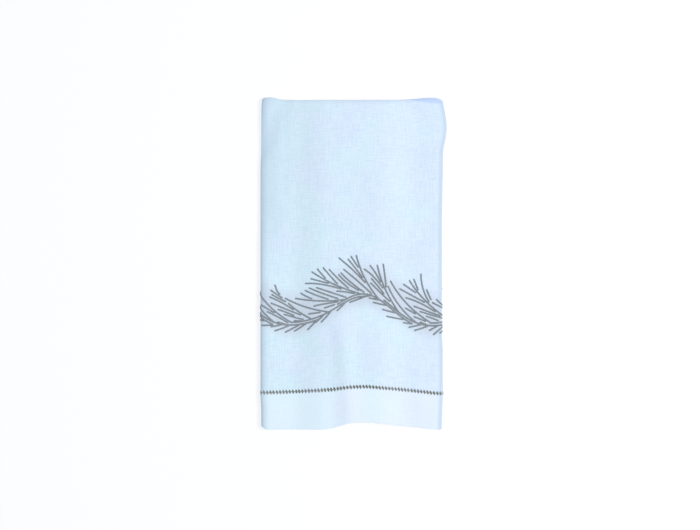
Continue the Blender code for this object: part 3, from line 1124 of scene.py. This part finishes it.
def grow_border(seed):
    """The lines of the twigs, cut off at the sides of the cloth."""
    border = Border(seed)
    border.add_stem()
    border.add_boughs()
    for rounds, shortest in TWIGS:
        for _ in range(rounds):
            border.add_twigs(shortest * MM)
    border.add_sprigs()
    lines = []
    for points in border.lines:
        points = points + np.array((BORDER_SHIFT, 0.0))
        outside = (points[:, 0] < SIDE_MARGIN) | (points[:, 0] > FLAT_WIDTH - SIDE_MARGIN)
        points = points[: int(np.argmax(outside)) if outside.any() else len(points)]
        if len(points) > 6:
            lines.append(points)
    return lines


def embroidered_lines(thread_settings):
    """The twigs as padded lines of stitches on the right side of the cloth, with rounded ends."""
    lines = []
    for flat in grow_border(thread_settings.growth):
        count = len(flat)
        shares = np.where(np.arange(count) % 4 == 0, 0.93, 1.0)
        shares[[1, -2]] = 0.85
        shares[[0, -1]] = 0
        lines.append((on_right_side(flat[:, 0], flat[:, 1], -THREAD_SINK), shares))
    return lines


def finish_sewing(piece, material):
    piece.data.materials.clear()
    piece.data.materials.append(material)
    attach(piece, "root")


class HANDTOWEL_OT_fold_cloth(bpy.types.Operator):
    """Folds the linen in three lengthwise and once across"""

    bl_idname = "hand_towel.fold_cloth"
    bl_label = "Fold the cloth"

    def execute(self, context):
        towel = make_cloth()
        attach(towel, "root")
        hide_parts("towel")
        return {"FINISHED"}


class HANDTOWEL_OT_hemstitch(bpy.types.Operator):
    """Sews the line of hemstitching above the front hem"""

    bl_idname = "hand_towel.hemstitch"
    bl_label = "Sew the hemstitching"

    def execute(self, context):
        settings = context.scene.hand_towel_thread
        piece = make_tubes("hemstitching", hemstitch_lines(settings), STRAND_RADIUS, 1)
        finish_sewing(piece, thread("hemstitch_thread", settings.stitch_color, 0.7 * MM, 0.6))
        return {"FINISHED"}


class HANDTOWEL_OT_embroider(bpy.types.Operator):
    """Embroiders the border of twigs"""

    bl_idname = "hand_towel.embroider"
    bl_label = "Embroider the twigs"

    def execute(self, context):
        settings = context.scene.hand_towel_thread
        lines = embroidered_lines(settings)
        piece = make_tubes("embroidered_twigs", lines, settings.line_width / 2, 2)
        finish_sewing(piece, thread("embroidery_thread", settings.line_color, 1.2 * MM, 0.15))
        return {"FINISHED"}


class HANDTOWEL_OT_stage(bpy.types.Operator):
    """Makes the floor, the light and the camera"""

    bl_idname = "hand_towel.stage"
    bl_label = "Set the stage"

    def execute(self, context):
        stage = context.scene.hand_towel_stage
        bpy.ops.object.select_all(action="DESELECT")
        bpy.ops.mesh.primitive_plane_add(size=FLOOR_SIZE, location=(0, 0, -FLOOR_DROP))
        floor = context.object
        floor.name = "floor"
        material, _, shader = new_material("pale_floor", 0.9)
        shader.inputs["Base Color"].default_value = (*stage.floor_color, 1.0)
        shader.inputs["Emission Color"].default_value = (*FLOOR_GLOW_COLOR, 1.0)
        shader.inputs["Emission Strength"].default_value = FLOOR_GLOW
        floor.data.materials.append(material)

        world = bpy.data.worlds.new("studio")
        world.use_nodes = True
        background = world.node_tree.nodes["Background"]
        background.inputs["Color"].default_value = (*SKY_COLOR, 1.0)
        background.inputs["Strength"].default_value = stage.dome_strength
        context.scene.world = world

        bpy.ops.object.light_add(type="AREA", location=KEY_PLACE)
        key = context.object
        key.name = "key_light"
        key.data.shape = "DISK"
        key.data.size = KEY_SIZE
        key.data.energy = stage.key_power
        key.data.color = KEY_COLOR
        key.rotation_euler = (-Vector(KEY_PLACE)).to_track_quat("-Z", "Y").to_euler()

        bpy.ops.object.camera_add(location=(*CAMERA_MIDDLE, stage.camera_height))
        camera = context.object
        camera.name = "camera"
        camera.data.sensor_width = SENSOR_WIDTH
        view_width = PHOTO_WIDTH * PHOTO_MM_PER_PIXEL * MM
        camera.data.lens = SENSOR_WIDTH * (stage.camera_height - FRONT_HEIGHT) / view_width
        context.scene.camera = camera
        context.scene.view_settings.view_transform = "Standard"
        return {"FINISHED"}


class HANDTOWEL_PT_panel(bpy.types.Panel):
    """Lists the steps that make the towel"""

    bl_idname = "HANDTOWEL_PT_panel"
    bl_label = "Hand Towel"
    bl_space_type = "VIEW_3D"
    bl_region_type = "UI"
    bl_category = "Hand Towel"

    def draw(self, context):
        for group in ("hand_towel_cloth", "hand_towel_thread", "hand_towel_stage"):
            settings = getattr(context.scene, group)
            box = self.layout.box()
            for name in settings.__annotations__:
                box.prop(settings, name)
        for operator in OPERATORS:
            self.layout.operator(operator.bl_idname)


GROUPS = (
    ("hand_towel_cloth", HandTowelCloth),
    ("hand_towel_thread", HandTowelThread),
    ("hand_towel_stage", HandTowelStage),
)
OPERATORS = (
    HANDTOWEL_OT_fold_cloth,
    HANDTOWEL_OT_hemstitch,
    HANDTOWEL_OT_embroider,
    HANDTOWEL_OT_stage,
)


def register():
    for name, group in GROUPS:
        bpy.utils.register_class(group)
        setattr(bpy.types.Scene, name, bpy.props.PointerProperty(type=group))
    for cls in (*OPERATORS, HANDTOWEL_PT_panel):
        bpy.utils.register_class(cls)


def unregister():
    for cls in reversed((*OPERATORS, HANDTOWEL_PT_panel)):
        bpy.utils.unregister_class(cls)
    for name, group in reversed(GROUPS):
        delattr(bpy.types.Scene, name)
        bpy.utils.unregister_class(group)


def main():
    register()
    bpy.ops.hand_towel.fold_cloth()
    bpy.ops.hand_towel.hemstitch()
    bpy.ops.hand_towel.embroider()
    bpy.ops.hand_towel.stage()


if __name__ == "__main__":
    main()
